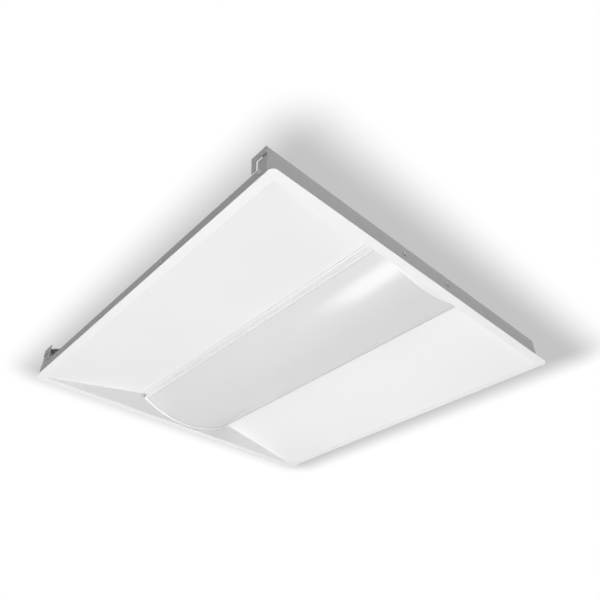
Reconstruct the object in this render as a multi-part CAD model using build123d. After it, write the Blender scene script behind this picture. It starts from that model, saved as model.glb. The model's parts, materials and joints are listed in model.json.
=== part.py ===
from build123d import *
import os
from math import sqrt

# Recessed troffer light for a 24 in. ceiling grid, in millimetres.
# The origin is the centre of the face, in the plane that rests on the ceiling grid.
# +Z points up into the ceiling, X runs along the lens, and +Y is the hinge side of the lens.

# ---------------------------------------------------------------- sheet stock and common gaps
housing_sheet = 0.8
reflector_sheet = 0.6
housing_bend = 1.2
reflector_bend = 1.0
seam_gap = 0.1

# ---------------------------------------------------------------- face and outer walls
face_size = 603.0
face_corner_radius = 8.0
end_strip_width = 12.9
side_strip_width = 13.5
side_wall_inset = 2.0
side_wall_height = 20.5
end_foot_width = 10.0
end_foot_setback = 4.5
end_top_flange_width = 30.0
end_top_flange_at_corner = 8.0
end_plate_corner_radius = 6.0
end_plate_hole_radius = 1.5
end_plate_hole_height = 27.4

lens_edge_height = 28.6
rail_rise = 13.4
door_headroom = 5.4

rail_top = lens_edge_height + rail_rise
pan_under = rail_top + door_headroom
pan_top = pan_under + housing_sheet
end_plate_height = pan_top + housing_sheet
half_face = face_size / 2
end_wall_x = half_face - end_strip_width
end_plate_in = end_wall_x + reflector_sheet
end_plate_out = end_plate_in + housing_sheet
rail_out = half_face - side_wall_inset
rail_in = rail_out - housing_sheet

# ---------------------------------------------------------------- corner tabs and grid straps
tab_length = 16.0
tab_top = 35.0
strap_gap = 3.0
strap_reach = 26.5
strap_width = 7.5
strap_end_gap = 2.3
strap_hole_radius = 1.6
strap_hole_inset = 4.3
corner_clear_length = 20.0

tab_x = end_plate_out - tab_length
strap_bottom = tab_top + strap_gap
strap_x = end_plate_out - strap_reach

# ---------------------------------------------------------------- side rails
rail_flange_width = 9.5
rail_return_drop = 5.0

# ---------------------------------------------------------------- reflector wings
wing_lip_height = 14.0
wing_root_lip = 8.6
wing_root_gap = 1.7
wing_fold_radius = 6.0
hem_width = 3.4

wing_inner_rise = pan_under - wing_root_gap - wing_root_lip
wing_fold_y = half_face - side_strip_width
wing_length = 2 * (end_wall_x - seam_gap)

# ---------------------------------------------------------------- back pan and its opening
opening_width = 197.2
pan_wall_drop = 8.2
pan_tab_width = 20.0
pan_tab_drop = 19.4

opening_y = opening_width / 2
pan_wall_out = opening_y + housing_sheet
lip_out = pan_wall_out + reflector_sheet
pan_tab_bottom = pan_under - pan_tab_drop

# ---------------------------------------------------------------- lens door
door_gap = 2.0
lap_overlap = 1.2
lap_drop = 0.8
lens_radius = 190.0
lens_thickness = 2.0
lens_edge_gap = 0.5
lens_rest_gap = 0.1
lens_top_gap = 0.3
rail_wall = 0.8
rail_lip_depth = 1.8
port_radius = 2.9
port_bore = 1.45
port_inset = 2.7
port_drop = 3.0
cap_wall = 1.5
cap_rim = 1.2
rim_overlap = 2.5
rim_reach = 5.0
rim_end_gap = 0.6
cap_rail_gap = 0.1

door_rail_out = opening_y - door_gap
door_rail_in = door_rail_out - rail_wall
lens_half_width = door_rail_in - lens_edge_gap
lip_edge = door_rail_in - rail_lip_depth
lap_out = lip_out + lap_overlap
lap_top = wing_inner_rise - reflector_sheet / 2 - lap_drop
lap_length = 2 * (end_wall_x - rim_end_gap)
lens_centre_z = lens_edge_height + sqrt(lens_radius**2 - lens_half_width**2)
cap_in = end_wall_x - rim_end_gap - rim_reach
cap_out = cap_in + cap_wall
door_rail_length = 2 * (cap_in - cap_rail_gap)
lens_length = door_rail_length - 2 * cap_rail_gap

# ---------------------------------------------------------------- hinge and catches
hinge_inset = 5.6
hinge_rise = 4.4
pin_radius = 2.0
pin_clearance = 0.05
pin_head_radius = 2.7
pin_head_height = 1.2
bushing_radius = 3.5
bushing_flange_radius = 4.5
bushing_flange = 0.8
bracket_thickness = 1.5
bracket_eye_radius = 5.2
bracket_half_width = 3.6
bracket_offset = 1.6
bracket_foot = 16.0
bracket_gap = 0.7
pin_tip_gap = 0.3
catch_width = 16.0
catch_sheet = 0.4
catch_rise = 2.0
catch_end_inset = 88.6
catch_clearance = 0.4

hinge_y = door_rail_out - hinge_inset
hinge_height = lens_edge_height + hinge_rise
catch_x = end_wall_x - catch_end_inset
bracket_y = hinge_y - bracket_offset
bracket_in = cap_out + bracket_gap
bracket_out = bracket_in + bracket_thickness

# ---------------------------------------------------------------- light engine
tray_end_gap = 22.6
tray_side_gap = 6.6
tray_flange = 8.0
tray_slope = 4.0
tray_depth = 2.0
board_end_inset = 4.0
board_width = 22.0
board_thickness = 1.6
board_y = 42.0
led_count = 24
led_size = (3.5, 2.8, 0.7)
connector_size = (14.0, 8.0, 4.2)
wire_entry = 2.0

tray_length = 2 * (end_wall_x - tray_end_gap)
tray_width = opening_width - 2 * tray_side_gap
board_length = tray_length - 2 * board_end_inset
tray_top = pan_under - tray_depth
tray_under = tray_top - housing_sheet
board_under = tray_under - board_thickness
led_pitch = board_length / led_count

# ---------------------------------------------------------------- driver compartment
box_end_space = 45.0
box_side_space = 30.0
box_height = 27.8
box_rim = 6.0
cover_lip = 10.0
cover_gap = 0.1
conduit_radius = 11.1
conduit_y = 30.0
knockout_groove = 0.4
driver_length = 150.0
driver_width = 60.0
driver_height = 24.0
driver_wall = 1.0
driver_ear = 9.0
driver_corner = 2.0
driver_post = 6.0
board_rest_gap = 0.5
transformer_x = 12.0
core_size = (24.0, 18.0, 15.0)
coil_size = (15.0, 25.0, 12.0)
coil_corner = 3.0
capacitor_radius = 5.0
capacitor_height = 14.0
capacitor_spots = ((-24.0, -10.0), (-24.0, 6.0), (42.0, 12.0))
circuit_thickness = 1.6
circuit_lift = 2.0
terminal_size = (23.0, 16.0, 10.0)
terminal_reach = 12.0
disconnect_size = (14.0, 12.0, 9.0)
disconnect_gap = 6.0
disconnect_inset = 17.0
bushing_hole_radius = 7.0
bushing_clearance = 0.1
lead_bushing_inset = 18.0
lead_bore = 4.5
lead_flange = 2.0
lead_flange_height = 1.5
lead_radius = 0.8
lead_spread = 2.0
lead_rows = (2.9, 6.9)
lead_bend = 4.0
ground_y = -22.0
ground_inset = 24.0
lug_radius = 4.0
lug_thickness = 1.0
ground_lead_lift = 6.0
lead_stub = 3.0

box_length = driver_length + 2 * box_end_space
box_width = driver_width + 2 * box_side_space
disconnect_x = box_length / 2 - disconnect_inset
lead_bushing_x = -(box_length / 2 - lead_bushing_inset)
ground_x = box_length / 2 - ground_inset
box_bottom = pan_top
box_floor = box_bottom + housing_sheet
box_top = box_bottom + box_height
conduit_z = (box_floor + box_top) / 2
driver_end = driver_length / 2
driver_floor = box_floor + driver_wall
driver_top = box_floor + driver_height
circuit_z = driver_floor + circuit_lift
circuit_top = circuit_z + circuit_thickness

# ---------------------------------------------------------------- fasteners
hole_clearance = 0.2
screw_hole_clearance = 0.15
cutter_length = 20.0
sheet_cutter = 8.0
wall_screw = {"head_radius": 3.3, "head_height": 1.6, "shank_radius": 1.9}
small_screw = {"head_radius": 2.6, "head_height": 1.5, "shank_radius": 1.4}
rivet_size = {"head_radius": 3.0, "head_height": 0.9, "shank_radius": 1.6}
side_screw_length = 6.0
end_screw_length = 4.5
cap_screw_length = 12.0
tray_screw_length = 3.6
board_screw_tail = 1.0
driver_screw_length = 4.0
lid_screw_length = 7.0
cover_screw_length = 5.0
ground_screw_length = 3.6
upset_radius = 2.3
upset_height = 0.6
side_screw_x = 80.0
side_screw_z = 10.3
end_screw_y = 50.0
end_screw_drop = 13.0
corner_rivet_inset = 11.5
corner_rivet_z = 12.5
pan_rivet_drop = 3.9
pan_rivet_inset = 48.6
pan_rivet_count = 5
tray_screw_inset = 16.0
board_screw_steps = (-11, -4, 4, 11)
box_rivet_inset = 10.0
cover_screw_inset = 3.5
bracket_rivet_inset = 9.0

end_screw_z = pan_under - end_screw_drop
corner_rivet_x = end_plate_out - corner_rivet_inset
pan_rivet_z = pan_under - pan_rivet_drop
pan_rivet_pitch = 2 * (end_wall_x - pan_rivet_inset) / (pan_rivet_count - 1)
pan_rivet_xs = [(i - (pan_rivet_count - 1) / 2) * pan_rivet_pitch for i in range(pan_rivet_count)]
tray_screw_end_x = tray_length / 2 - tray_screw_inset
tray_screw_xs = (-tray_screw_end_x, 0.0, tray_screw_end_x)


# ---------------------------------------------------------------- construction helpers
def block(x_span, y_span, z_span):
    """A box between three pairs of coordinates."""
    spans = [sorted(x_span), sorted(y_span), sorted(z_span)]
    centre = [sum(span) / 2 for span in spans]
    size = [span[1] - span[0] for span in spans]
    return Pos(*centre) * Box(*size)


def both(half_width):
    """The symmetric span of a half width."""
    return (-half_width, half_width)


def bent_sheet(points, thickness, half_length, plane, radius):
    """A folded sheet: its middle line, drawn in a plane, given thickness and length."""
    line = FilletPolyline(*points, radius=radius)
    section = plane * trace(line, line_width=thickness)
    return extrude(section, amount=half_length, both=True)


def hole(point, direction, radius, depth=cutter_length):
    """A round cutter through a point."""
    return Plane(origin=point, z_dir=direction) * Cylinder(radius, depth)


def placed(shape, point, outward):
    """A fastener seated on a surface, with its head on the outward side."""
    return Plane(origin=point, z_dir=outward) * shape


def cross_recess(top, reach, depth):
    arm = Box(2 * reach, reach / 2.5, depth)
    return Pos(0, 0, top - depth / 2) * (arm + Rot(0, 0, 90) * arm)


def pan_screw(head_radius, head_height, shank_radius, length):
    head = Pos(0, 0, head_height / 2) * Cylinder(head_radius, head_height)
    head = fillet(head.edges().sort_by(Axis.Z)[-1], head_height * 0.55)
    shank = Pos(0, 0, -length / 2) * Cylinder(shank_radius, length)
    tip = shank.edges().sort_by(Axis.Z)[0]
    shank = chamfer(tip, shank_radius * 0.4)
    return head + shank - cross_recess(head_height, head_radius * 0.55, head_height * 0.5)


def flat_screw(head_radius, sink, shank_radius, length):
    head = Pos(0, 0, -sink / 2) * Cone(shank_radius, head_radius, sink)
    shank = Pos(0, 0, -length / 2) * Cylinder(shank_radius, length)
    return head + shank - cross_recess(0, head_radius * 0.5, sink * 0.5)


def rivet(grip, head_radius, head_height, shank_radius):
    """A rivet whose head is above z = 0 and whose upset end is below the gripped sheets."""
    head = Pos(0, 0, head_height / 2) * Cylinder(head_radius, head_height)
    head = fillet(head.edges().sort_by(Axis.Z)[-1], head_height * 0.7)
    shank = Pos(0, 0, -grip / 2) * Cylinder(shank_radius, grip)
    upset = Pos(0, 0, -grip - upset_height / 2) * Cylinder(upset_radius, upset_height)
    return head + shank + upset


def group(solids):
    return Compound(children=list(solids))


def mirrored_y(shape):
    return mirror(shape, about=Plane.XZ)


def mirrored_x(shape):
    return mirror(shape, about=Plane.YZ)


def lens_height(y, radius=lens_radius):
    """Height of the lens arc, or of an arc with the same centre, at a distance from the middle."""
    return lens_centre_z - sqrt(radius**2 - y**2)


def tube(points, radii):
    """A lead: round section swept along straight runs and tangent arcs."""
    path = FilletPolyline(*points, radius=radii)
    return sweep(Plane(origin=path @ 0, z_dir=path % 0) * Circle(lead_radius), path=path)


# ---------------------------------------------------------------- reflector
def make_wing():
    """The +Y wing: flat strip with a hemmed edge, sloping panel and upturned lips."""
    panel = bent_sheet(
        [
            (lip_out - reflector_sheet / 2, wing_inner_rise + wing_root_lip),
            (lip_out - reflector_sheet / 2, wing_inner_rise),
            (wing_fold_y, reflector_sheet / 2),
            (half_face, reflector_sheet / 2),
        ],
        reflector_sheet,
        wing_length / 2,
        Plane.YZ,
        [reflector_bend, wing_fold_radius],
    )
    hem = block(
        both(wing_length / 2),
        (half_face - hem_width, half_face),
        (reflector_sheet, 2 * reflector_sheet),
    )
    lip = block(
        both(end_plate_out - corner_clear_length),
        (rail_in - reflector_sheet, rail_in),
        (reflector_sheet, wing_lip_height),
    )
    wing = panel + hem + lip
    hem_edges = wing.edges().filter_by(Axis.X).group_by(Axis.Y)[-1]
    wing = fillet(hem_edges, reflector_sheet * 0.6)
    for x in both(side_screw_x):
        radius = wall_screw["shank_radius"] + screw_hole_clearance
        wing -= hole((x, rail_in, side_screw_z), (0, 1, 0), radius)
    for x in (*pan_rivet_xs, *both(catch_x)):
        radius = rivet_size["shank_radius"] + hole_clearance
        wing -= hole((x, lip_out, pan_rivet_z), (0, 1, 0), radius)
    return wing


def make_end_reflector():
    """The +X end reflector: flat end strip and the white wall behind the wings' ends."""
    strip = block((end_wall_x, half_face), both(half_face), (0, reflector_sheet))
    corners = strip.edges().filter_by(Axis.Z).group_by(Axis.X)[-1]
    strip = fillet(corners, face_corner_radius)
    wall_top = wing_inner_rise + wing_root_lip / 2
    outline = Polyline(
        (-wing_fold_y, 0),
        (wing_fold_y, 0),
        (wing_fold_y, side_strip_width / 4),
        (lip_out, wall_top),
        (-lip_out, wall_top),
        (-wing_fold_y, side_strip_width / 4),
        close=True,
    )
    wall = extrude(Plane.YZ * make_face(outline), amount=reflector_sheet)
    reflector = strip + Pos(end_wall_x, 0, 0) * wall
    for y in both(end_screw_y):
        radius = wall_screw["shank_radius"] + screw_hole_clearance
        reflector -= hole((end_wall_x, y, end_screw_z), (1, 0, 0), radius)
    return reflector


# ---------------------------------------------------------------- housing
def make_side_rail():
    """The +Y side rail: low outer wall with a stiffening flange."""
    rail = bent_sheet(
        [
            (rail_out - housing_sheet / 2, 2 * reflector_sheet),
            (rail_out - housing_sheet / 2, side_wall_height - housing_sheet / 2),
            (rail_out - rail_flange_width, side_wall_height - housing_sheet / 2),
            (rail_out - rail_flange_width, side_wall_height - rail_return_drop),
        ],
        housing_sheet,
        end_plate_out,
        Plane.YZ,
        housing_bend,
    )
    for end in (-1, 1):
        clear = (end * (end_plate_out - corner_clear_length), end * (end_plate_out + 1))
        rail -= block(clear, (0, rail_in), (0, end_plate_height))
        screw_radius = wall_screw["shank_radius"] + screw_hole_clearance
        rail -= hole((end * side_screw_x, rail_out, side_screw_z), (0, 1, 0), screw_radius)
        rivet_radius = rivet_size["shank_radius"] + hole_clearance
        rail -= hole((end * corner_rivet_x, rail_out, corner_rivet_z), (0, 1, 0), rivet_radius)
    return rail


def make_corner_strap():
    """The +X +Y grid strap: a hook-shaped strip that folds round the corner."""
    strap_y = (rail_in, rail_out)
    top_leg = block((strap_x, end_plate_out), strap_y, (strap_bottom, end_plate_height))
    end_z = side_wall_height + strap_end_gap
    hanging_leg = block((strap_x, strap_x + strap_width), strap_y, (end_z, end_plate_height))
    strap = top_leg + hanging_leg
    elbow = (strap_x + strap_hole_inset, rail_out, end_plate_height - strap_hole_inset)
    return strap - hole(elbow, (0, 1, 0), strap_hole_radius)


def make_corner_tab():
    """The +X +Y tab that the side rail is riveted to."""
    tab = block(
        (tab_x, end_plate_out),
        (rail_in - housing_sheet, rail_in),
        (reflector_sheet + housing_sheet, tab_top),
    )
    radius = rivet_size["shank_radius"] + hole_clearance
    return tab - hole((corner_rivet_x, rail_in, corner_rivet_z), (0, 1, 0), radius)


def make_end_plate():
    """The +X end plate: foot, wall, top flange, corner tabs and grid straps."""
    foot_z = reflector_sheet + housing_sheet / 2
    wall_x = end_plate_out - housing_sheet / 2
    flange_z = end_plate_height - housing_sheet / 2
    plate = bent_sheet(
        [
            (end_plate_in + end_foot_width, foot_z),
            (wall_x, foot_z),
            (wall_x, flange_z),
            (end_plate_out - end_top_flange_width, flange_z),
        ],
        housing_sheet,
        rail_out,
        Plane.XZ,
        housing_bend,
    )
    fold_z = (tab_top + strap_bottom) / 2
    straight = end_plate_out - 2 * housing_bend
    for side in (-1, 1):
        edge = side * rail_out
        beyond = side * (rail_out + 1)
        foot_end = side * (rail_out - end_foot_setback)
        plate -= block((end_plate_in, half_face), (side * rail_in, beyond), (0, fold_z))
        plate -= block((end_plate_out, half_face), (foot_end, beyond), (0, fold_z))
        flange_corner = Polyline(
            (end_plate_out - end_top_flange_at_corner, edge),
            (0, edge - side * (end_plate_out - end_top_flange_at_corner)),
            (0, beyond),
            (end_plate_out - end_top_flange_at_corner, beyond),
            close=True,
        )
        cutter = extrude(make_face(flange_corner), amount=end_plate_height * 2)
        inner_side = block((0, straight), both(half_face), (foot_z, end_plate_height + 1))
        plate -= cutter & inner_side
    corner = Plane.YZ * (
        Pos(rail_out, end_plate_height) * Rectangle(
            2 * end_plate_corner_radius, 2 * end_plate_corner_radius
        )
        - Pos(rail_out - end_plate_corner_radius, end_plate_height - end_plate_corner_radius)
        * Circle(end_plate_corner_radius)
    )
    strap = make_corner_strap()
    plate += strap + mirrored_y(strap)
    tab = make_corner_tab()
    plate += tab + mirrored_y(tab)
    plate -= Pos(straight, 0, 0) * extrude(corner, amount=end_foot_width)
    for y in both(end_screw_y):
        radius = wall_screw["shank_radius"] + screw_hole_clearance
        plate -= hole((end_plate_out, y, end_screw_z), (1, 0, 0), radius)
    plate -= hole((end_plate_out, 0, end_plate_hole_height), (1, 0, 0), end_plate_hole_radius)
    plate -= hole(bracket_rivet_point(1), (0, 0, 1), rivet_size["shank_radius"] + hole_clearance)
    return plate


def bracket_rivet_point(end):
    """Where a hinge bracket, the back pan and an end plate are riveted together."""
    x = bracket_out - bracket_rivet_inset
    return (end * x, bracket_y, end_plate_height)


def tray_screw_points():
    y = tray_width / 2 - tray_flange / 2
    return [(x, side * y, pan_under) for x in tray_screw_xs for side in (-1, 1)]


def box_rivet_points():
    x = box_length / 2 - box_rivet_inset
    y = box_width / 2 - box_rivet_inset
    return [(i * x, j * y, box_floor) for i in (-1, 1) for j in (-1, 1)]


def driver_screw_points():
    x = driver_end + driver_ear / 2
    y = driver_width / 2 - driver_ear
    return [(x, y, driver_floor), (-x, -y, driver_floor)]


def make_back_pan():
    """Inverted channel over the lens opening, with tabs that the end plates screw to."""
    wall_y = pan_wall_out - housing_sheet / 2
    top_z = pan_top - housing_sheet / 2
    pan = bent_sheet(
        [
            (-wall_y, pan_under - pan_wall_drop + housing_sheet),
            (-wall_y, top_z),
            (wall_y, top_z),
            (wall_y, pan_under - pan_wall_drop + housing_sheet),
        ],
        housing_sheet,
        end_wall_x - housing_sheet / 2,
        Plane.YZ,
        housing_bend,
    )
    for end in (-1, 1):
        for side in (-1, 1):
            tab_y = (
                side * (end_screw_y - pan_tab_width / 2),
                side * (end_screw_y + pan_tab_width / 2),
            )
            tab_x_span = (end * (end_wall_x - housing_sheet), end * end_wall_x)
            tab = block(tab_x_span, tab_y, (pan_tab_bottom, top_z))
            radius = wall_screw["shank_radius"] + screw_hole_clearance
            screw_point = (end * end_wall_x, side * end_screw_y, end_screw_z)
            pan += tab - hole(screw_point, (1, 0, 0), radius)
        radius = rivet_size["shank_radius"] + hole_clearance
        pan -= hole(bracket_rivet_point(end), (0, 0, 1), radius)
    for side in (-1, 1):
        for x in (*pan_rivet_xs, *both(catch_x)):
            point = (x, side * pan_wall_out, pan_rivet_z)
            pan -= hole(point, (0, 1, 0), rivet_size["shank_radius"] + hole_clearance, sheet_cutter)
    for point in tray_screw_points():
        pan -= hole(point, (0, 0, 1), small_screw["shank_radius"] + screw_hole_clearance, sheet_cutter)
    for point in box_rivet_points():
        pan -= hole(point, (0, 0, 1), rivet_size["shank_radius"] + hole_clearance, sheet_cutter)
    for point in (*driver_screw_points(), (ground_x, ground_y, box_floor)):
        pan -= hole(point, (0, 0, 1), small_screw["shank_radius"] + screw_hole_clearance, sheet_cutter)
    pan -= hole((lead_bushing_x, 0, pan_top), (0, 0, 1), bushing_hole_radius)
    return pan


# ---------------------------------------------------------------- lens door
def make_lens():
    """Bowed diffuser: an arc of sheet between the two lens rails."""
    ring = Circle(lens_radius) - Circle(lens_radius - lens_thickness)
    strip = Pos(0, -lens_radius) * Rectangle(2 * lens_half_width, 2 * lens_radius)
    section = Plane.YZ * (Pos(0, lens_centre_z) * (ring & strip))
    return extrude(section, amount=lens_length / 2, both=True)


def make_lens_rail():
    """The +Y lens rail: web, two lips that hold the lens edge, and a screw port."""
    low_lip_top = lens_height(lip_edge) - lens_rest_gap
    inner_radius = lens_radius - lens_thickness
    top_lip_bottom = lens_height(lens_half_width, inner_radius) + lens_top_gap
    web = Rectangle(rail_wall, rail_top - low_lip_top + rail_wall, align=(Align.MAX, Align.MAX))
    section = Pos(door_rail_out, rail_top) * web
    for lip_bottom in (low_lip_top - rail_wall, top_lip_bottom):
        lip = Rectangle(rail_lip_depth, rail_wall, align=(Align.MAX, Align.MIN))
        section += Pos(door_rail_in, lip_bottom) * lip
    port_at = Pos(door_rail_in - port_inset, rail_top - port_drop)
    section += port_at * Circle(port_radius)
    section -= port_at * Circle(port_bore)
    section -= Pos(door_rail_out, rail_top - port_drop) * Rectangle(
        rail_wall, 2 * rail_top, align=(Align.MIN, Align.CENTER)
    )
    return extrude(Plane.YZ * section, amount=door_rail_length / 2, both=True)


def make_lap_rail():
    """A +Y lens rail with an outward flange that laps under the wing's inner edge."""
    lap_z = (lap_top - rail_wall, lap_top)
    flange = block(both(door_rail_length / 2), (door_rail_out, lap_out), lap_z)
    flange += block(both(lap_length / 2), (door_rail_out + seam_gap, lap_out), lap_z)
    return make_lens_rail() + flange


def arc_band(inner_radius, outer_radius, half_width):
    ring = Circle(outer_radius) - Circle(inner_radius)
    strip = Pos(0, -outer_radius) * Rectangle(2 * half_width, 2 * outer_radius)
    return Plane.YZ * (Pos(0, lens_centre_z) * (ring & strip))


def make_end_cap():
    """The +X end cap: a wall across the lens's end, and a rim that follows its arc."""
    rim_in = lens_radius + lens_rest_gap
    rim_out = rim_in + cap_rim
    bottom = Circle(rim_out) & Pos(0, -rim_out) * Rectangle(2 * door_rail_out, 2 * rim_out)
    below_top = Rectangle(
        2 * door_rail_out, rail_top + lens_radius, align=(Align.CENTER, Align.MAX)
    )
    outline = Pos(0, lens_centre_z) * bottom & Pos(0, rail_top) * below_top
    cap = Pos(cap_in, 0, 0) * extrude(Plane.YZ * outline, amount=cap_wall)
    outer_rim = extrude(arc_band(rim_in, rim_out, door_rail_out), amount=rim_reach)
    cap += Pos(cap_in, 0, 0) * outer_rim
    inner_width = lip_edge - lens_top_gap
    inner_rim = extrude(arc_band(rim_in, rim_out, inner_width), amount=rim_overlap)
    cap += Pos(cap_in - rim_overlap, 0, 0) * inner_rim
    for y in both(door_rail_in - port_inset):
        point = (cap_out, y, rail_top - port_drop)
        cap -= placed(cap_screw_cutter(), point, (1, 0, 0))
    cap -= hole((cap_in, hinge_y, hinge_height), (1, 0, 0), pin_radius)
    return cap


def cap_screw_cutter():
    head_radius = small_screw["head_radius"] + screw_hole_clearance
    shank_radius = small_screw["shank_radius"] + screw_hole_clearance
    sink = Pos(0, 0, -cap_wall / 2) * Cone(shank_radius, head_radius, cap_wall)
    return sink + Pos(0, 0, -cap_wall) * Cylinder(shank_radius, 2 * cap_wall)


def make_cap_screws():
    screw = flat_screw(
        small_screw["head_radius"], cap_wall, small_screw["shank_radius"], cap_screw_length
    )
    y = door_rail_in - port_inset
    return group(
        placed(screw, (end * cap_out, side * y, rail_top - port_drop), (end, 0, 0))
        for end in (-1, 1)
        for side in (-1, 1)
    )


# ---------------------------------------------------------------- hinge and catches
def make_hinge_pin():
    """The +X hinge pin: a headed pin fixed in the end cap."""
    tip_x = end_wall_x - pin_tip_gap
    length = tip_x - cap_in
    shank = Pos(0, 0, length / 2) * Cylinder(pin_radius, length)
    shank = chamfer(shank.edges().sort_by(Axis.Z)[-1], 0.4)
    head = Pos(0, 0, -pin_head_height / 2) * Cylinder(pin_head_radius, pin_head_height)
    return placed(head + shank, (cap_in, hinge_y, hinge_height), (1, 0, 0))


def make_hinge_bushing():
    """The +X bushing that the hinge pin turns in."""
    body_length = bracket_thickness + bushing_flange
    body = Pos(0, 0, body_length / 2) * Cylinder(bushing_radius, body_length)
    flange_at = Pos(0, 0, bracket_thickness + bushing_flange / 2)
    flange = flange_at * Cylinder(bushing_flange_radius, bushing_flange)
    bushing = body + flange - Cylinder(pin_radius + pin_clearance, 4 * body_length)
    return placed(bushing, (bracket_in, hinge_y, hinge_height), (1, 0, 0))


def make_hinge_bracket():
    """The +X hinge bracket: an eye under the back pan, on a folded foot."""
    stem_y = (bracket_y - bracket_half_width, bracket_y + bracket_half_width)
    stem = block((bracket_in, bracket_out), stem_y, (hinge_height, pan_under))
    eye = hole((bracket_in + bracket_thickness / 2, hinge_y, hinge_height), (1, 0, 0),
               bracket_eye_radius, bracket_thickness)
    foot = block((bracket_out - bracket_foot, bracket_out), stem_y,
                 (pan_under - bracket_thickness, pan_under))
    bracket = stem + eye + foot
    bracket -= hole((bracket_in, hinge_y, hinge_height), (1, 0, 0), bushing_radius)
    radius = rivet_size["shank_radius"] + hole_clearance
    return bracket - hole(bracket_rivet_point(1), (0, 0, 1), radius)


def make_catch_spring(x):
    """Leaf spring for the pan's +Y wall, whose bump bears on the lens rail."""
    back_y = opening_y - catch_sheet / 2
    bump_y = door_rail_out + catch_clearance + catch_sheet / 2
    bump_z = rail_top - port_drop
    line = FilletPolyline(
        (back_y, pan_under - housing_bend),
        (back_y, bump_z + catch_rise),
        (bump_y, bump_z),
        (back_y, bump_z - catch_rise),
        radius=0.5,
    )
    section = Plane.YZ * trace(line, line_width=catch_sheet)
    spring = Pos(x, 0, 0) * extrude(section, amount=catch_width / 2, both=True)
    radius = rivet_size["shank_radius"] + hole_clearance
    return spring - hole((x, opening_y, pan_rivet_z), (0, 1, 0), radius, sheet_cutter)


# ---------------------------------------------------------------- light engine
def make_led_tray():
    """Shallow hat section that carries the boards under the back pan."""
    half = tray_width / 2
    top_z = pan_under - housing_sheet / 2
    low_z = tray_top - housing_sheet / 2
    shelf = half - tray_flange - tray_slope
    tray = bent_sheet(
        [
            (-half, top_z),
            (-half + tray_flange, top_z),
            (-shelf, low_z),
            (shelf, low_z),
            (half - tray_flange, top_z),
            (half, top_z),
        ],
        housing_sheet,
        tray_length / 2,
        Plane.YZ,
        housing_bend,
    )
    for point in tray_screw_points():
        tray -= hole(point, (0, 0, 1), small_screw["shank_radius"] + screw_hole_clearance, sheet_cutter)
    for point in board_screw_points():
        tray -= hole(point, (0, 0, 1), small_screw["shank_radius"] + screw_hole_clearance, sheet_cutter)
    return tray - hole((lead_bushing_x, 0, tray_top), (0, 0, 1), bushing_hole_radius, sheet_cutter)


def board_screw_points():
    return [
        (step * led_pitch, side * board_y, board_under)
        for step in board_screw_steps
        for side in (-1, 1)
    ]


def make_led_board():
    """The +Y LED board."""
    y_span = (board_y - board_width / 2, board_y + board_width / 2)
    board = block(both(board_length / 2), y_span, (board_under, tray_under))
    for point in board_screw_points():
        board -= hole(point, (0, 0, 1), small_screw["shank_radius"] + screw_hole_clearance, sheet_cutter)
    return board


def make_led_packages():
    size_x, size_y, size_z = led_size
    led = Pos(0, 0, -size_z / 2) * Box(size_x, size_y, size_z)
    led = chamfer(led.edges().filter_by(Axis.Z), 0.4)
    first = -(led_count - 1) / 2
    return group(
        Pos((first + i) * led_pitch, side * board_y, board_under) * led
        for side in (-1, 1)
        for i in range(led_count)
    )


def make_connector():
    """The +Y board connector, with two wire entries."""
    size_x, size_y, size_z = connector_size
    body = Pos(0, size_y / 2, -size_z / 2) * Box(size_x, size_y, size_z)
    body = fillet(body.faces().sort_by(Axis.Z)[0].edges(), 0.5)
    inner_edge = board_y - board_width / 2
    connector = Pos(lead_bushing_x, inner_edge, board_under) * body
    for x in lead_xs():
        connector -= hole((x, inner_edge, lead_low_z()), (0, 1, 0), lead_radius, 2 * wire_entry)
    return connector


def lead_xs():
    return (lead_bushing_x + lead_spread, lead_bushing_x - lead_spread)


def lead_low_z():
    return board_under - connector_size[2] / 2


def make_output_leads():
    """Two leads from the driver's output terminal to each LED board."""
    start_x = -(driver_end + terminal_reach)
    leads = []
    for side in (-1, 1):
        for x, row in zip(lead_xs(), lead_rows):
            z = circuit_top + row
            terminal_y = side * terminal_size[1] / 4
            points = [
                (start_x, terminal_y, z),
                (start_x - lead_stub, terminal_y, z),
                (x, side * lead_spread, z),
                (x, side * lead_spread, lead_low_z()),
                (x, side * (board_y - board_width / 2), lead_low_z()),
            ]
            leads.append(tube(points, [lead_bend, lead_bend, lead_bend]))
    return group(leads)


def make_lead_bushing():
    """Nylon bushing that carries the leads through box, pan and tray."""
    body_top = box_floor
    body_bottom = tray_under
    height = body_top - body_bottom
    mid_z = (body_top + body_bottom) / 2
    body = Pos(0, 0, mid_z) * Cylinder(bushing_hole_radius - bushing_clearance, height)
    flange_radius = bushing_hole_radius + lead_flange
    upper = Pos(0, 0, body_top + lead_flange_height / 2)
    lower = Pos(0, 0, body_bottom - lead_flange_height / 2)
    flange = Cylinder(flange_radius, lead_flange_height)
    bushing = body + upper * flange + lower * flange
    bushing -= Pos(0, 0, mid_z) * Cylinder(lead_bore, 4 * height)
    return Pos(lead_bushing_x, 0, 0) * bushing


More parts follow.
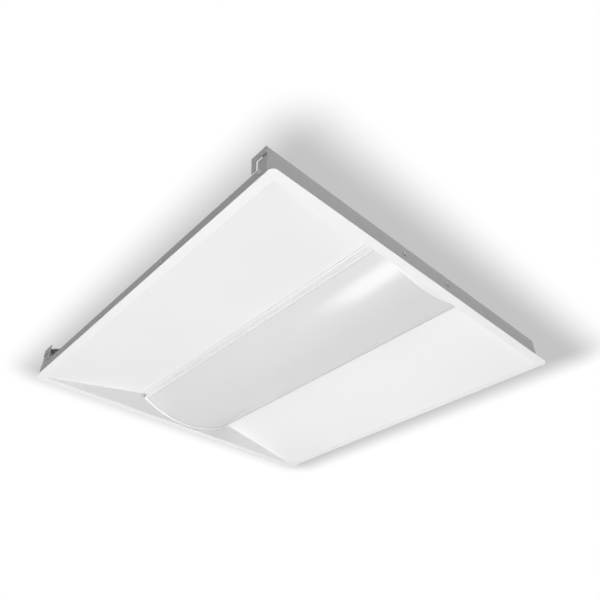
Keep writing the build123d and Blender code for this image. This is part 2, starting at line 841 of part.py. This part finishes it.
# ---------------------------------------------------------------- driver compartment
def make_driver_box():
    """Sheet box on the back pan: wiring space, conduit hole and a rim for the cover."""
    half_x = box_length / 2
    half_y = box_width / 2
    box = block(both(half_x), both(half_y), (box_bottom, box_top))
    vertical = box.edges().filter_by(Axis.Z)
    box = fillet(vertical, 2 * housing_bend)
    box = fillet(box.faces().sort_by(Axis.Z)[-1].edges(), housing_bend)
    cavity = block(
        both(half_x - housing_sheet), both(half_y - housing_sheet),
        (box_floor, box_top - housing_sheet),
    )
    cavity = fillet(cavity.edges().filter_by(Axis.Z), 2 * housing_bend - housing_sheet)
    box -= cavity
    box -= block(both(half_x - box_rim), both(half_y - box_rim), (box_top - 2, box_top + 1))
    box -= hole((half_x, -conduit_y, conduit_z), (1, 0, 0), conduit_radius, sheet_cutter)
    groove = Cylinder(conduit_radius, 2 * knockout_groove)
    groove -= Cylinder(conduit_radius - knockout_groove, 2 * knockout_groove)
    box -= placed(groove, (half_x, conduit_y, conduit_z), (1, 0, 0))
    for point in box_rivet_points():
        box -= hole(point, (0, 0, 1), rivet_size["shank_radius"] + hole_clearance, sheet_cutter)
    small_hole = small_screw["shank_radius"] + screw_hole_clearance
    for point in (*driver_screw_points(), (ground_x, ground_y, box_floor)):
        box -= hole(point, (0, 0, 1), small_hole, sheet_cutter)
    for x in both(half_x - cover_screw_inset):
        box -= hole((x, 0, box_top), (0, 0, 1), small_hole, sheet_cutter)
    box -= hole((lead_bushing_x, 0, box_floor), (0, 0, 1), bushing_hole_radius, sheet_cutter)
    return box


def make_box_cover():
    lip_y = box_width / 2 + cover_gap + housing_sheet / 2
    top_z = box_top + housing_sheet / 2
    cover = bent_sheet(
        [
            (-lip_y, box_top - cover_lip),
            (-lip_y, top_z),
            (lip_y, top_z),
            (lip_y, box_top - cover_lip),
        ],
        housing_sheet,
        box_length / 2,
        Plane.YZ,
        housing_bend,
    )
    for x in both(box_length / 2 - cover_screw_inset):
        radius = small_screw["shank_radius"] + screw_hole_clearance
        cover -= hole((x, 0, box_top), (0, 0, 1), radius, sheet_cutter)
    return cover


def make_driver_case():
    """Driver case: open tray with end windows, corner posts and mounting ears."""
    half_y = driver_width / 2
    case_top = driver_top - driver_wall
    case = block(both(driver_end), both(half_y), (box_floor, case_top))
    case = fillet(case.edges().filter_by(Axis.Z), driver_corner)
    case -= block(
        both(driver_end - driver_wall), both(half_y - driver_wall), (driver_floor, case_top)
    )
    for x, y in case_corners():
        post = Box(driver_post, driver_post, case_top - driver_floor)
        case += Pos(x, y, (driver_floor + case_top) / 2) * post
        case -= hole((x, y, case_top), (0, 0, 1), small_screw["shank_radius"])
    for x in both(driver_end - 3 * driver_post):
        rest_x = (x - driver_post / 2, x + driver_post / 2)
        case += block(rest_x, both(half_y - driver_wall), (driver_floor, circuit_z))
    window_y = terminal_size[1] / 2 + screw_hole_clearance
    window_z = (circuit_top - screw_hole_clearance,
                circuit_top + terminal_size[2] + screw_hole_clearance)
    case -= block(both(driver_length), both(window_y), window_z)
    for x, y, z in driver_screw_points():
        end = 1 if x > 0 else -1
        ear = block((end * driver_end, end * (driver_end + driver_ear)),
                    (y - driver_ear / 2, y + driver_ear / 2), (box_floor, driver_floor))
        ear = fillet(ear.edges().filter_by(Axis.Z), driver_ear / 6)
        bridge_x = (end * (driver_end - driver_corner), end * (driver_end + driver_corner))
        bridge_y = (y - driver_ear / 2, y + driver_ear / 2)
        bridge = block(bridge_x, bridge_y, (box_floor, driver_floor))
        radius = small_screw["shank_radius"] + screw_hole_clearance
        case += ear + bridge - hole((x, y, z), (0, 0, 1), radius, sheet_cutter)
    return case


def case_corners():
    inset = driver_wall + driver_post / 2
    x = driver_end - inset
    y = driver_width / 2 - inset
    return [(i * x, j * y) for i in (-1, 1) for j in (-1, 1)]


def make_driver_lid():
    lid = block(both(driver_end), both(driver_width / 2), (driver_top - driver_wall, driver_top))
    lid = fillet(lid.edges().filter_by(Axis.Z), driver_corner)
    for x, y in case_corners():
        radius = small_screw["shank_radius"] + screw_hole_clearance
        lid -= hole((x, y, driver_top), (0, 0, 1), radius, sheet_cutter)
    return lid


def make_driver_board():
    inset = driver_wall + board_rest_gap
    board = block(both(driver_end - inset), both(driver_width / 2 - inset),
                  (circuit_z, circuit_top))
    for x, y in case_corners():
        clear = driver_post + 2 * board_rest_gap
        board -= Pos(x, y, circuit_z) * Box(clear, clear, 4 * circuit_thickness)
    return board


def make_transformer():
    middle = Pos(transformer_x, 0, circuit_top + core_size[2] / 2)
    coil = fillet(Box(*coil_size).edges().filter_by(Axis.Z), coil_corner)
    return middle * (Box(*core_size) + coil)


def make_capacitors():
    can = Cylinder(capacitor_radius, capacitor_height)
    can = fillet(can.edges().sort_by(Axis.Z)[-1], capacitor_radius / 6)
    z = circuit_top + capacitor_height / 2
    return group(Pos(x, y, z) * can for x, y in capacitor_spots)


def make_terminals():
    size_x, size_y, size_z = terminal_size
    blocks = []
    for end in (-1, 1):
        outer = end * (driver_end + terminal_reach)
        body = block((outer, outer - end * size_x), both(size_y / 2),
                     (circuit_top, circuit_top + size_z))
        blocks.append(fillet(body.edges().filter_by(Axis.Z), 1.0))
    return group(blocks)


def make_disconnect(y_low):
    """One half of the two-part supply connector."""
    size_x, size_y, size_z = disconnect_size
    body = block((disconnect_x - size_x / 2, disconnect_x + size_x / 2),
                 (y_low, y_low + size_y), (box_floor, box_floor + size_z))
    return fillet(body.edges().filter_by(Axis.Y), 1.0)


def disconnect_y():
    return terminal_size[1] / 2 + disconnect_gap


def make_input_leads():
    """Line and neutral leads from the disconnect socket to the driver's input terminal."""
    start_x = driver_end + terminal_reach
    leads = []
    for side, x in ((1, disconnect_x - lead_spread), (-1, disconnect_x + lead_spread)):
        z = circuit_top + lead_rows[0]
        y = side * terminal_size[1] / 4
        points = [(start_x, y, z), (x, y, z), (x, disconnect_y(), z)]
        leads.append(tube(points, lead_bend))
    return group(leads)


def make_ground_lead():
    z = driver_floor + ground_lead_lift
    points = [
        (driver_end, ground_y, z),
        (ground_x + lug_radius, ground_y, z),
        (ground_x + lug_radius, ground_y, box_floor + lug_thickness / 2),
    ]
    wire = tube(points, lead_bend)
    lug = Pos(ground_x, ground_y, box_floor + lug_thickness / 2) * Cylinder(
        lug_radius, lug_thickness
    )
    tail = block((ground_x, ground_x + lug_radius + lead_radius),
                 (ground_y - 1.5, ground_y + 1.5), (box_floor, box_floor + lug_thickness))
    lug += tail
    radius = small_screw["shank_radius"] + screw_hole_clearance
    lug -= hole((ground_x, ground_y, box_floor), (0, 0, 1), radius, sheet_cutter)
    return wire + lug


# ---------------------------------------------------------------- fastener groups
def make_side_screws():
    screw = pan_screw(**wall_screw, length=side_screw_length)
    return group(
        placed(screw, (x, side * rail_out, side_screw_z), (0, side, 0))
        for x in both(side_screw_x)
        for side in (-1, 1)
    )


def make_end_screws():
    screw = pan_screw(**wall_screw, length=end_screw_length)
    return group(
        placed(screw, (end * end_plate_out, y, end_screw_z), (end, 0, 0))
        for y in both(end_screw_y)
        for end in (-1, 1)
    )


def make_corner_rivets():
    piece = rivet(2 * housing_sheet, **rivet_size)
    return group(
        placed(piece, (x, side * rail_out, corner_rivet_z), (0, side, 0))
        for x in both(corner_rivet_x)
        for side in (-1, 1)
    )


def make_pan_rivets():
    piece = rivet(housing_sheet + reflector_sheet, **rivet_size)
    spots = [(x, side) for x in pan_rivet_xs for side in (-1, 1)]
    spots += [(x, 1) for x in both(catch_x)]
    return group(
        placed(piece, (x, side * lip_out, pan_rivet_z), (0, side, 0)) for x, side in spots
    )


def make_catch_rivets():
    piece = rivet(housing_sheet + reflector_sheet + catch_sheet, **rivet_size)
    return group(
        placed(piece, (x, -lip_out, pan_rivet_z), (0, -1, 0)) for x in both(catch_x)
    )


def make_bracket_rivets():
    piece = rivet(2 * housing_sheet + bracket_thickness, **rivet_size)
    return group(placed(piece, bracket_rivet_point(end), (0, 0, 1)) for end in (-1, 1))


def make_tray_screws():
    screw = pan_screw(**small_screw, length=tray_screw_length)
    under = housing_sheet
    return group(
        placed(screw, (x, y, z - under), (0, 0, -1)) for x, y, z in tray_screw_points()
    )


def make_board_screws():
    screw = pan_screw(**small_screw, length=board_thickness + housing_sheet + board_screw_tail)
    return group(placed(screw, point, (0, 0, -1)) for point in board_screw_points())


def make_box_rivets():
    piece = rivet(2 * housing_sheet, **rivet_size)
    return group(placed(piece, point, (0, 0, 1)) for point in box_rivet_points())


def make_driver_screws():
    screw = pan_screw(**small_screw, length=driver_screw_length)
    return group(placed(screw, point, (0, 0, 1)) for point in driver_screw_points())


def make_driver_lid_screws():
    screw = pan_screw(**small_screw, length=lid_screw_length)
    return group(placed(screw, (x, y, driver_top), (0, 0, 1)) for x, y in case_corners())


def make_cover_screws():
    screw = pan_screw(**small_screw, length=cover_screw_length)
    z = box_top + housing_sheet
    return group(
        placed(screw, (x, 0, z), (0, 0, 1)) for x in both(box_length / 2 - cover_screw_inset)
    )


def make_ground_screw():
    screw = pan_screw(**small_screw, length=ground_screw_length)
    return placed(screw, (ground_x, ground_y, box_floor + lug_thickness), (0, 0, 1))


# ---------------------------------------------------------------- nodes
def build_nodes():
    wing = make_wing()
    end_reflector = make_end_reflector()
    side_rail = make_side_rail()
    end_plate = make_end_plate()
    end_cap = make_end_cap()
    board = make_led_board()
    connector = make_connector()
    pin = make_hinge_pin()
    bushing = make_hinge_bushing()
    bracket = make_hinge_bracket()
    socket_y = disconnect_y()
    return {
        "reflector_wing_left": mirrored_y(wing),
        "reflector_wing_right": wing,
        "end_reflector_front": end_reflector,
        "end_reflector_rear": mirrored_x(end_reflector),
        "side_rail_left": mirrored_y(side_rail),
        "side_rail_right": side_rail,
        "end_plate_front": end_plate,
        "end_plate_rear": mirrored_x(end_plate),
        "back_pan": make_back_pan(),
        "side_rail_screws": make_side_screws(),
        "end_plate_screws": make_end_screws(),
        "corner_rivets": make_corner_rivets(),
        "pan_rivets": make_pan_rivets(),
        "lens": make_lens(),
        "lens_rail_hinge_side": make_lens_rail(),
        "lens_rail_catch_side": mirrored_y(make_lap_rail()),
        "lens_end_cap_front": end_cap,
        "lens_end_cap_rear": mirrored_x(end_cap),
        "lens_cap_screws": make_cap_screws(),
        "hinge_pins": group([pin, mirrored_x(pin)]),
        "hinge_bushings": group([bushing, mirrored_x(bushing)]),
        "hinge_bracket_front": bracket,
        "hinge_bracket_rear": mirrored_x(bracket),
        "hinge_bracket_rivets": make_bracket_rivets(),
        "catch_springs": group(mirrored_y(make_catch_spring(x)) for x in both(catch_x)),
        "catch_rivets": make_catch_rivets(),
        "led_tray": make_led_tray(),
        "led_tray_screws": make_tray_screws(),
        "led_board_left": mirrored_y(board),
        "led_board_right": board,
        "led_packages": make_led_packages(),
        "led_board_screws": make_board_screws(),
        "board_connectors": group([connector, mirrored_y(connector)]),
        "output_leads": make_output_leads(),
        "lead_bushing": make_lead_bushing(),
        "driver_box": make_driver_box(),
        "driver_box_cover": make_box_cover(),
        "driver_box_rivets": make_box_rivets(),
        "box_cover_screws": make_cover_screws(),
        "driver_case": make_driver_case(),
        "driver_lid": make_driver_lid(),
        "driver_lid_screws": make_driver_lid_screws(),
        "driver_board": make_driver_board(),
        "driver_transformer": make_transformer(),
        "driver_capacitors": make_capacitors(),
        "driver_terminals": make_terminals(),
        "driver_screws": make_driver_screws(),
        "disconnect_socket": make_disconnect(socket_y),
        "disconnect_plug": make_disconnect(socket_y + disconnect_size[1]),
        "input_leads": make_input_leads(),
        "ground_lead": make_ground_lead(),
        "ground_screw": make_ground_screw(),
    }


os.makedirs("parts", exist_ok=True)
for node, shape in build_nodes().items():
    export_step(shape, f"parts/{node}.step")
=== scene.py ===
import json
import math

import bpy
from mathutils import Matrix, Vector

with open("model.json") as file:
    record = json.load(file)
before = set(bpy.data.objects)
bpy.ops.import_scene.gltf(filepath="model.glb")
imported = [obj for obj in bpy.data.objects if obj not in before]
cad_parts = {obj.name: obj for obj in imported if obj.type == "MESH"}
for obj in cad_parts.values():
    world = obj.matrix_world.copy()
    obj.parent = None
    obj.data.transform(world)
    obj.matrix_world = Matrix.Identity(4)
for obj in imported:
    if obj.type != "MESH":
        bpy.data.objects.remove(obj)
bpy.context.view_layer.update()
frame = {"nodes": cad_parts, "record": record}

nodes = frame["nodes"]
scene = bpy.context.scene
scene.view_settings.view_transform = "Standard"


# ---------------------------------------------------------------- camera
# Fitted to the face's corners and parallel edges: 573 px focal length on a 600 px frame,
# from below the fixture, with the picture's centre a little off the lens axis.
FOCAL_PX = 573.0
FRAME_PX = 600.0
CENTRE_PX = (261.2, 308.0)
SENSOR_MM = 36.0
CAMERA_AT = Vector((0.59534, -0.57287, -0.48949))
ELEVATION = math.radians(36.87)
HEADING = math.radians(-48.88)
ROLL = math.radians(0.37)


def make_camera():
    data = bpy.data.cameras.new("camera")
    data.sensor_width = SENSOR_MM
    data.lens = SENSOR_MM * FOCAL_PX / FRAME_PX
    data.shift_x = (FRAME_PX / 2 - CENTRE_PX[0]) / FRAME_PX
    data.shift_y = (CENTRE_PX[1] - FRAME_PX / 2) / FRAME_PX
    data.clip_start = 0.01
    data.clip_end = 50.0
    camera = bpy.data.objects.new("camera", data)
    scene.collection.objects.link(camera)
    level = math.cos(ELEVATION)
    forward = Vector((math.sin(HEADING) * level, math.cos(HEADING) * level, math.sin(ELEVATION)))
    turn = forward.to_track_quat("-Z", "Y").to_matrix().to_4x4()
    camera.matrix_world = Matrix.Translation(CAMERA_AT) @ turn @ Matrix.Rotation(ROLL, 4, "Z")
    scene.camera = camera


# ---------------------------------------------------------------- node graphs
class Graph:
    """A material's node tree, textured by the piece's own coordinates."""

    def __init__(self, name):
        self.material = bpy.data.materials.new(name)
        self.material.use_nodes = True
        self.tree = self.material.node_tree
        self.shader = self.tree.nodes["Principled BSDF"]
        self.coords = self.add("ShaderNodeTexCoord").outputs["Object"]

    def add(self, kind, **settings):
        node = self.tree.nodes.new(kind)
        for key, value in settings.items():
            setattr(node, key, value)
        return node

    def link(self, source, target):
        self.tree.links.new(source, target)

    def noise(self, scale, detail=2.0, stretch=(1, 1, 1)):
        mapping = self.add("ShaderNodeMapping")
        mapping.inputs["Scale"].default_value = stretch
        self.link(self.coords, mapping.inputs["Vector"])
        node = self.add("ShaderNodeTexNoise")
        node.inputs["Scale"].default_value = scale
        node.inputs["Detail"].default_value = detail
        self.link(mapping.outputs["Vector"], node.inputs["Vector"])
        return node.outputs["Fac"]

    def spread(self, source, low, high, start=0.3, end=0.7):
        """The source's start to end, stretched over low to high."""
        node = self.add("ShaderNodeMapRange")
        node.inputs["From Min"].default_value = start
        node.inputs["From Max"].default_value = end
        node.inputs["To Min"].default_value = low
        node.inputs["To Max"].default_value = high
        self.link(source, node.inputs["Value"])
        return node.outputs["Result"]

    def tone(self, source, dark, light):
        """Base colour that drifts from dark to light with the source."""
        node = self.add("ShaderNodeMix", data_type="RGBA")
        node.inputs["A"].default_value = (*dark, 1)
        node.inputs["B"].default_value = (*light, 1)
        self.link(self.spread(source, 0, 1), node.inputs["Factor"])
        self.link(node.outputs["Result"], self.shader.inputs["Base Color"])

    def gloss(self, source, smooth, rough):
        """Roughness that drifts from smooth to rough with the source."""
        self.link(self.spread(source, smooth, rough), self.shader.inputs["Roughness"])

    def bump(self, source, height):
        node = self.add("ShaderNodeBump")
        node.inputs["Strength"].default_value = 1.0
        node.inputs["Distance"].default_value = height
        self.link(source, node.inputs["Height"])
        self.link(node.outputs["Normal"], self.shader.inputs["Normal"])

    def set(self, **values):
        for key, value in values.items():
            self.shader.inputs[key.replace("_", " ")].default_value = value

    def join(self, kind, socket, *sources):
        """A node that takes the sources in its sockets in order, and its output."""
        node = self.add(kind)
        for target, source in zip(node.inputs, sources):
            self.link(source, target)
        return node.outputs[socket]

    def surface(self, source):
        """Shows the source in place of the plain shader."""
        self.link(source, self.tree.nodes["Material Output"].inputs["Surface"])


def background_rays(tree):
    """1 for the rays that show the background: camera, glossy and transmission rays."""
    path = tree.nodes.new("ShaderNodeLightPath")
    shows = path.outputs["Is Camera Ray"]
    for ray in ("Is Glossy Ray", "Is Transmission Ray"):
        either = tree.nodes.new("ShaderNodeMath")
        either.operation = "MAXIMUM"
        tree.links.new(shows, either.inputs[0])
        tree.links.new(path.outputs[ray], either.inputs[1])
        shows = either.outputs[0]
    return shows


# ---------------------------------------------------------------- finishes
# Noise scales are in cycles per metre, and bump heights are in metres.
DRIFT_SCALE = 5.0
PAINT_GLOSS_SCALE = 60.0
PEEL_SCALE = 1400.0
PAINT_GLOSS_DRIFT = 0.05

FLOW_SCALE = 18.0
FLOW_STRETCH = (0.3, 1, 1)
GRAIN_SCALE = 900.0
GRAIN_DEPTH = 0.00001
GRAIN_GLOSS_DRIFT = 0.06

PATCH_SCALE = 90.0
PATCH_SHADE = 0.82
ROLLING_SCALE = 500.0
ROLLING_DEPTH = 0.00001
ROLLING_GLOSS_DRIFT = 0.1

HAZE_SCALE = 1100.0
HAZE_DEPTH = 0.00001
HAZE_GLOSS = (0.20, 0.26)
CLOUD_SCALE = 7.0
CLOUD_TONES = ((0.70, 0.70, 0.70), (0.715, 0.715, 0.715))
ACRYLIC_IOR = 1.49


def shade(colour, factor):
    return tuple(channel * factor for channel in colour)


def painted(name, colour, roughness, peel=0.00002, drift=0.03):
    """Powder coat: fine orange peel, with slight drift of tone and gloss over the sheet."""
    graph = Graph(name)
    graph.tone(graph.noise(DRIFT_SCALE, detail=3.0), shade(colour, 1 - drift), colour)
    graph.gloss(graph.noise(PAINT_GLOSS_SCALE, detail=4.0),
                roughness - PAINT_GLOSS_DRIFT, roughness + PAINT_GLOSS_DRIFT)
    graph.bump(graph.noise(PEEL_SCALE), peel)
    return graph.material


def moulded(name, colour, roughness, drift=0.03):
    """Moulded plastic: fine spark-eroded grain and slight flow marks."""
    graph = Graph(name)
    graph.tone(graph.noise(FLOW_SCALE, stretch=FLOW_STRETCH), shade(colour, 1 - drift), colour)
    grain = graph.noise(GRAIN_SCALE, detail=3.0)
    graph.gloss(grain, roughness - GRAIN_GLOSS_DRIFT, roughness + GRAIN_GLOSS_DRIFT)
    graph.bump(grain, GRAIN_DEPTH)
    return graph.material


def metal(name, colour, roughness):
    """Plated metal: fine rolled grain with patchy brightness."""
    graph = Graph(name)
    graph.tone(graph.noise(PATCH_SCALE, detail=3.0), shade(colour, PATCH_SHADE), colour)
    rolling = graph.noise(ROLLING_SCALE, detail=4.0)
    graph.gloss(rolling, roughness - ROLLING_GLOSS_DRIFT, roughness + ROLLING_GLOSS_DRIFT)
    graph.bump(rolling, ROLLING_DEPTH)
    graph.set(Metallic=1.0)
    return graph.material


def frosted(name):
    """Unlit frosted acrylic: opaque white with a fine haze and faint clouding."""
    graph = Graph(name)
    graph.tone(graph.noise(CLOUD_SCALE), *CLOUD_TONES)
    haze = graph.noise(HAZE_SCALE)
    graph.gloss(haze, *HAZE_GLOSS)
    graph.bump(haze, HAZE_DEPTH)
    graph.set(IOR=ACRYLIC_IOR)
    return graph.material


materials = {
    "white_paint": painted("white_paint", (0.90, 0.90, 0.90), 0.5),
    # grey_paint is partly a grey finish and partly painted shade: its dark tone stands in for the
    # shade on the housing's outer walls.
    "grey_paint": painted("grey_paint", (0.27, 0.27, 0.274), 0.5, peel=0.000006, drift=0.04),
    "lens_plastic": frosted("lens_plastic"),
    "white_plastic": moulded("white_plastic", (0.86, 0.86, 0.86), 0.5),
    "zinc_steel": metal("zinc_steel", (0.36, 0.36, 0.37), 0.42),
    "rivet_aluminium": metal("rivet_aluminium", (0.34, 0.34, 0.35), 0.5),
    "white_board": moulded("white_board", (0.88, 0.88, 0.86), 0.4),
    "green_board": moulded("green_board", (0.03, 0.16, 0.06), 0.4),
    "led_phosphor": moulded("led_phosphor", (0.85, 0.68, 0.18), 0.35),
    "lead_plastic": moulded("lead_plastic", (0.7, 0.7, 0.68), 0.45),
    "black_plastic": moulded("black_plastic", (0.03, 0.03, 0.033), 0.5, drift=0.15),
    "orange_plastic": moulded("orange_plastic", (0.75, 0.2, 0.03), 0.45, drift=0.08),
    "green_plastic": moulded("green_plastic", (0.03, 0.3, 0.07), 0.45, drift=0.1),
}


def dress_nodes():
    for part in frame["record"]["subparts"]:
        piece = nodes[part["node"]]
        piece.data.materials.clear()
        piece.data.materials.append(materials[part["material_slot"]])


# ---------------------------------------------------------------- room
PLANE_REACH = 8.0
ROOM_LIGHT = 0.22

FLOOR_Z = -1.8
FLOOR_TONE = 0.8
FLOOR_LIFT = 0.5
FLOOR_FADE_START = 2.0
FLOOR_FADE_END = 7.0

# The ceiling's dark halo is a painted shadow: its emission is set lower near the fixture by
# position, not cast by the lamps.
CEILING_Z = 0.08
SHADOW_CENTRE = (-0.055, 0.0925)
SHADOW_HALF = (0.345, 0.3375)
SHADOW_LEVEL = 0.55
SHADOW_FADE = 0.095

# name, place, what it points at, side of its square, and power in watts
FACE = (0, 0, 0.02)
LAMPS = (
    ("low_side", (0.3, -1.3, -1.55), FACE, 1.4, 10.9),
    ("low_middle", (0.3, -0.2, -1.4), FACE, 1.1, 4.3),
    ("hinge_side", (0.3, 3.0, -0.55), FACE, 1.9, 11.6),
    ("catch_side", (0.4, -3.2, -0.6), FACE, 2.0, 26.0),
    ("end_side", (2.2, -0.3, 0.5), FACE, 1.2, 30.0),
    ("lens_gleam", (-0.24, 0.1, -1.04), (0.26, -0.06, 0.013), 0.35, 2.8),
    ("top", (-0.5, 0.2, 1.6), FACE, 1.4, 21.0),
)


def area_light(name, at, target, size, power):
    data = bpy.data.lights.new(name, "AREA")
    data.shape = "SQUARE"
    data.size = size
    data.energy = power
    light = bpy.data.objects.new(name, data)
    aim = Vector(target) - Vector(at)
    light.matrix_world = Matrix.Translation(at) @ aim.to_track_quat("-Z", "Y").to_matrix().to_4x4()
    light.visible_camera = False
    scene.collection.objects.link(light)


def make_world():
    """Even pale surroundings, and a white background behind the fixture."""
    world = bpy.data.worlds.new("surroundings")
    world.use_nodes = True
    scene.world = world
    tree = world.node_tree
    background = tree.nodes["Background"]
    level = tree.nodes.new("ShaderNodeMapRange")
    level.inputs["To Min"].default_value = ROOM_LIGHT
    level.inputs["To Max"].default_value = 1.0
    tree.links.new(background_rays(tree), level.inputs["Value"])
    tree.links.new(level.outputs["Result"], background.inputs["Strength"])
    background.inputs["Color"].default_value = (1, 1, 1, 1)


def room_plane(name, height, faces_down=False):
    corners = [(-1, -1), (1, -1), (1, 1), (-1, 1)]
    if faces_down:
        corners.reverse()
    mesh = bpy.data.meshes.new(name)
    points = [(x * PLANE_REACH, y * PLANE_REACH, height) for x, y in corners]
    mesh.from_pydata(points, [], [(0, 1, 2, 3)])
    plane = bpy.data.objects.new(name, mesh)
    scene.collection.objects.link(plane)
    return plane


def make_floor():
    """Pale floor that keeps the fixture's shadow and fades into the background far away."""
    floor = room_plane("floor", FLOOR_Z)
    graph = Graph("floor_paint")
    graph.set(Base_Color=(FLOOR_TONE, FLOOR_TONE, FLOOR_TONE, 1), Roughness=0.9,
              Specular_IOR_Level=0.1)
    pale = graph.add("ShaderNodeEmission")
    lift = graph.spread(background_rays(graph.tree), 0.0, FLOOR_LIFT, start=0, end=1)
    graph.link(lift, pale.inputs["Strength"])
    lifted = graph.join("ShaderNodeAddShader", "Shader",
                        graph.shader.outputs["BSDF"], pale.outputs["Emission"])
    distance = graph.add("ShaderNodeVectorMath", operation="LENGTH")
    graph.link(graph.coords, distance.inputs[0])
    fade = graph.spread(distance.outputs["Value"], 0.0, 1.0,
                        start=FLOOR_FADE_START, end=FLOOR_FADE_END)
    clear = graph.add("ShaderNodeBsdfTransparent")
    graph.surface(graph.join("ShaderNodeMixShader", "Shader",
                             fade, lifted, clear.outputs["BSDF"]))
    floor.data.materials.append(graph.material)


def painted_shadow_level(graph):
    """Painted shadow: 1 away from the fixture, down to SHADOW_LEVEL in a box around it, set by
    position.
    """
    centred = graph.add("ShaderNodeMapping")
    centred.inputs["Location"].default_value = (-SHADOW_CENTRE[0], -SHADOW_CENTRE[1], 0)
    centred.inputs["Scale"].default_value = (1, 1, 0)
    graph.link(graph.coords, centred.inputs["Vector"])
    across = graph.add("ShaderNodeVectorMath", operation="ABSOLUTE")
    graph.link(centred.outputs["Vector"], across.inputs[0])
    past_box = graph.add("ShaderNodeVectorMath", operation="SUBTRACT")
    past_box.inputs[1].default_value = (*SHADOW_HALF, 0)
    graph.link(across.outputs["Vector"], past_box.inputs[0])
    outside = graph.add("ShaderNodeVectorMath", operation="MAXIMUM")
    outside.inputs[1].default_value = (0, 0, 0)
    graph.link(past_box.outputs["Vector"], outside.inputs[0])
    distance = graph.add("ShaderNodeVectorMath", operation="LENGTH")
    graph.link(outside.outputs["Vector"], distance.inputs[0])
    level = graph.add("ShaderNodeMapRange", interpolation_type="SMOOTHSTEP")
    level.inputs["From Max"].default_value = SHADOW_FADE
    level.inputs["To Min"].default_value = SHADOW_LEVEL
    graph.link(distance.outputs["Value"], level.inputs["Value"])
    return level.outputs["Result"]


def make_ceiling():
    """White ceiling seen from below, with the fixture's soft shadow painted on it as darker
    emission by position.
    """
    ceiling = room_plane("ceiling", CEILING_Z, faces_down=True)
    graph = Graph("ceiling_with_painted_shadow")
    # painted shadow: the ceiling's emission, darker in the box around the fixture
    paint = graph.add("ShaderNodeEmission")
    graph.link(painted_shadow_level(graph), paint.inputs["Strength"])
    path = graph.add("ShaderNodeLightPath")
    side = graph.add("ShaderNodeNewGeometry")
    from_below = graph.add("ShaderNodeMath", operation="SUBTRACT", use_clamp=True)
    graph.link(path.outputs["Is Camera Ray"], from_below.inputs[0])
    graph.link(side.outputs["Backfacing"], from_below.inputs[1])
    clear = graph.add("ShaderNodeBsdfTransparent")
    graph.surface(graph.join("ShaderNodeMixShader", "Shader", from_below.outputs["Value"],
                             clear.outputs["BSDF"], paint.outputs["Emission"]))
    ceiling.data.materials.append(graph.material)


make_camera()
dress_nodes()
make_ceiling()
make_world()
make_floor()
for lamp in LAMPS:
    area_light(*lamp)
